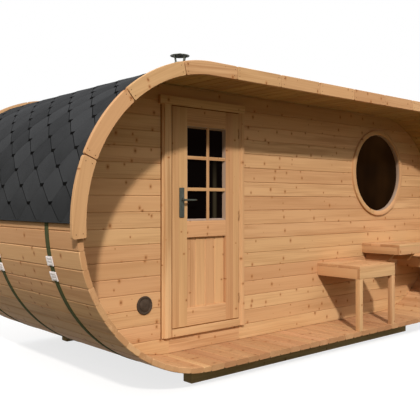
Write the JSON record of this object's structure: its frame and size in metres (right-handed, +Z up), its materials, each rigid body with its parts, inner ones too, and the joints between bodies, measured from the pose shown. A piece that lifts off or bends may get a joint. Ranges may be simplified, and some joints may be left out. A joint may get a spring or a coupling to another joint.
{
  "type": "oval barrel sauna",
  "caption": "Wide oval barrel sauna of wooden staves on beams, with a shingled roof, a covered terrace, a glazed door that opens, a round window, seats and a table.",
  "frame": {"origin": "ground under the middle of the building", "axes": "+X along the wide front to the right seen from the front, +Y from the front to the back, +Z up"},
  "size_m": [5.374, 2.556, 2.968],
  "materials": {
    "pine": "planed, satin",
    "door_pine": "planed, satin",
    "dark_timber": "stained",
    "shingle": "mineral-coated bitumen felt",
    "dark_steel": "satin",
    "glass": "clear, dark room behind",
    "vent_brown": "matt",
    "strap": "woven webbing",
    "buckle": "matt",
    "flue_steel": "weathered"
  },
  "bodies": {
    "sauna": {"base_beams": "dark_timber", "floor_staves": "pine", "left_lower_staves": "pine", "right_lower_staves": "pine", "left_upper_staves": "pine", "right_upper_staves": "pine", "roof_staves": "pine", "left_shingles": "shingle", "roof_shingles": "shingle", "right_shingles": "shingle", "front_fascia": "pine", "rear_fascia": "pine", "front_wall_left": "pine", "front_wall_over_door": "pine", "front_wall_under_door": "pine", "front_wall_middle": "pine", "front_wall_right_upper": "pine", "front_wall_right_lower": "pine", "rear_wall": "pine", "door_casing_left": "pine", "door_casing_right": "pine", "door_header": "pine", "door_threshold": "pine", "hinge_pins": "dark_steel", "window_ring": "pine", "window_glass": "glass", "vent_cover": "vent_brown", "straps": "strap", "strap_buckles": "buckle", "flue_pipe": "flue_steel", "flue_cap": "flue_steel", "left_seat_top": "pine", "left_seat_frame": "pine", "right_seat_top": "pine", "right_seat_frame": "pine", "table_top": "pine", "table_frame": "pine"},
    "door": {"door_frame": "door_pine", "door_glass": "glass", "door_muntins": "door_pine", "door_panel": "door_pine", "door_hinges": "dark_steel", "handle_plate": "dark_steel"},
    "door_handle": {"door_lever": "dark_steel"}
  },
  "joints": [
    {"name": "door_swing", "type": "hinge", "parent": "sauna", "child": "door", "pos_m": [-0.744, -0.764, 1.2865], "axis": [0, 0, 1], "range_deg": [0, 100]},
    {"name": "handle_turn", "type": "hinge", "parent": "door", "child": "door_handle", "pos_m": [-1.393, -0.766, 1.427], "axis": [0, 1, 0], "range_deg": [0, 40], "stiffness_Nm_per_rad": 2, "springref_deg": -22.92}
  ]
}
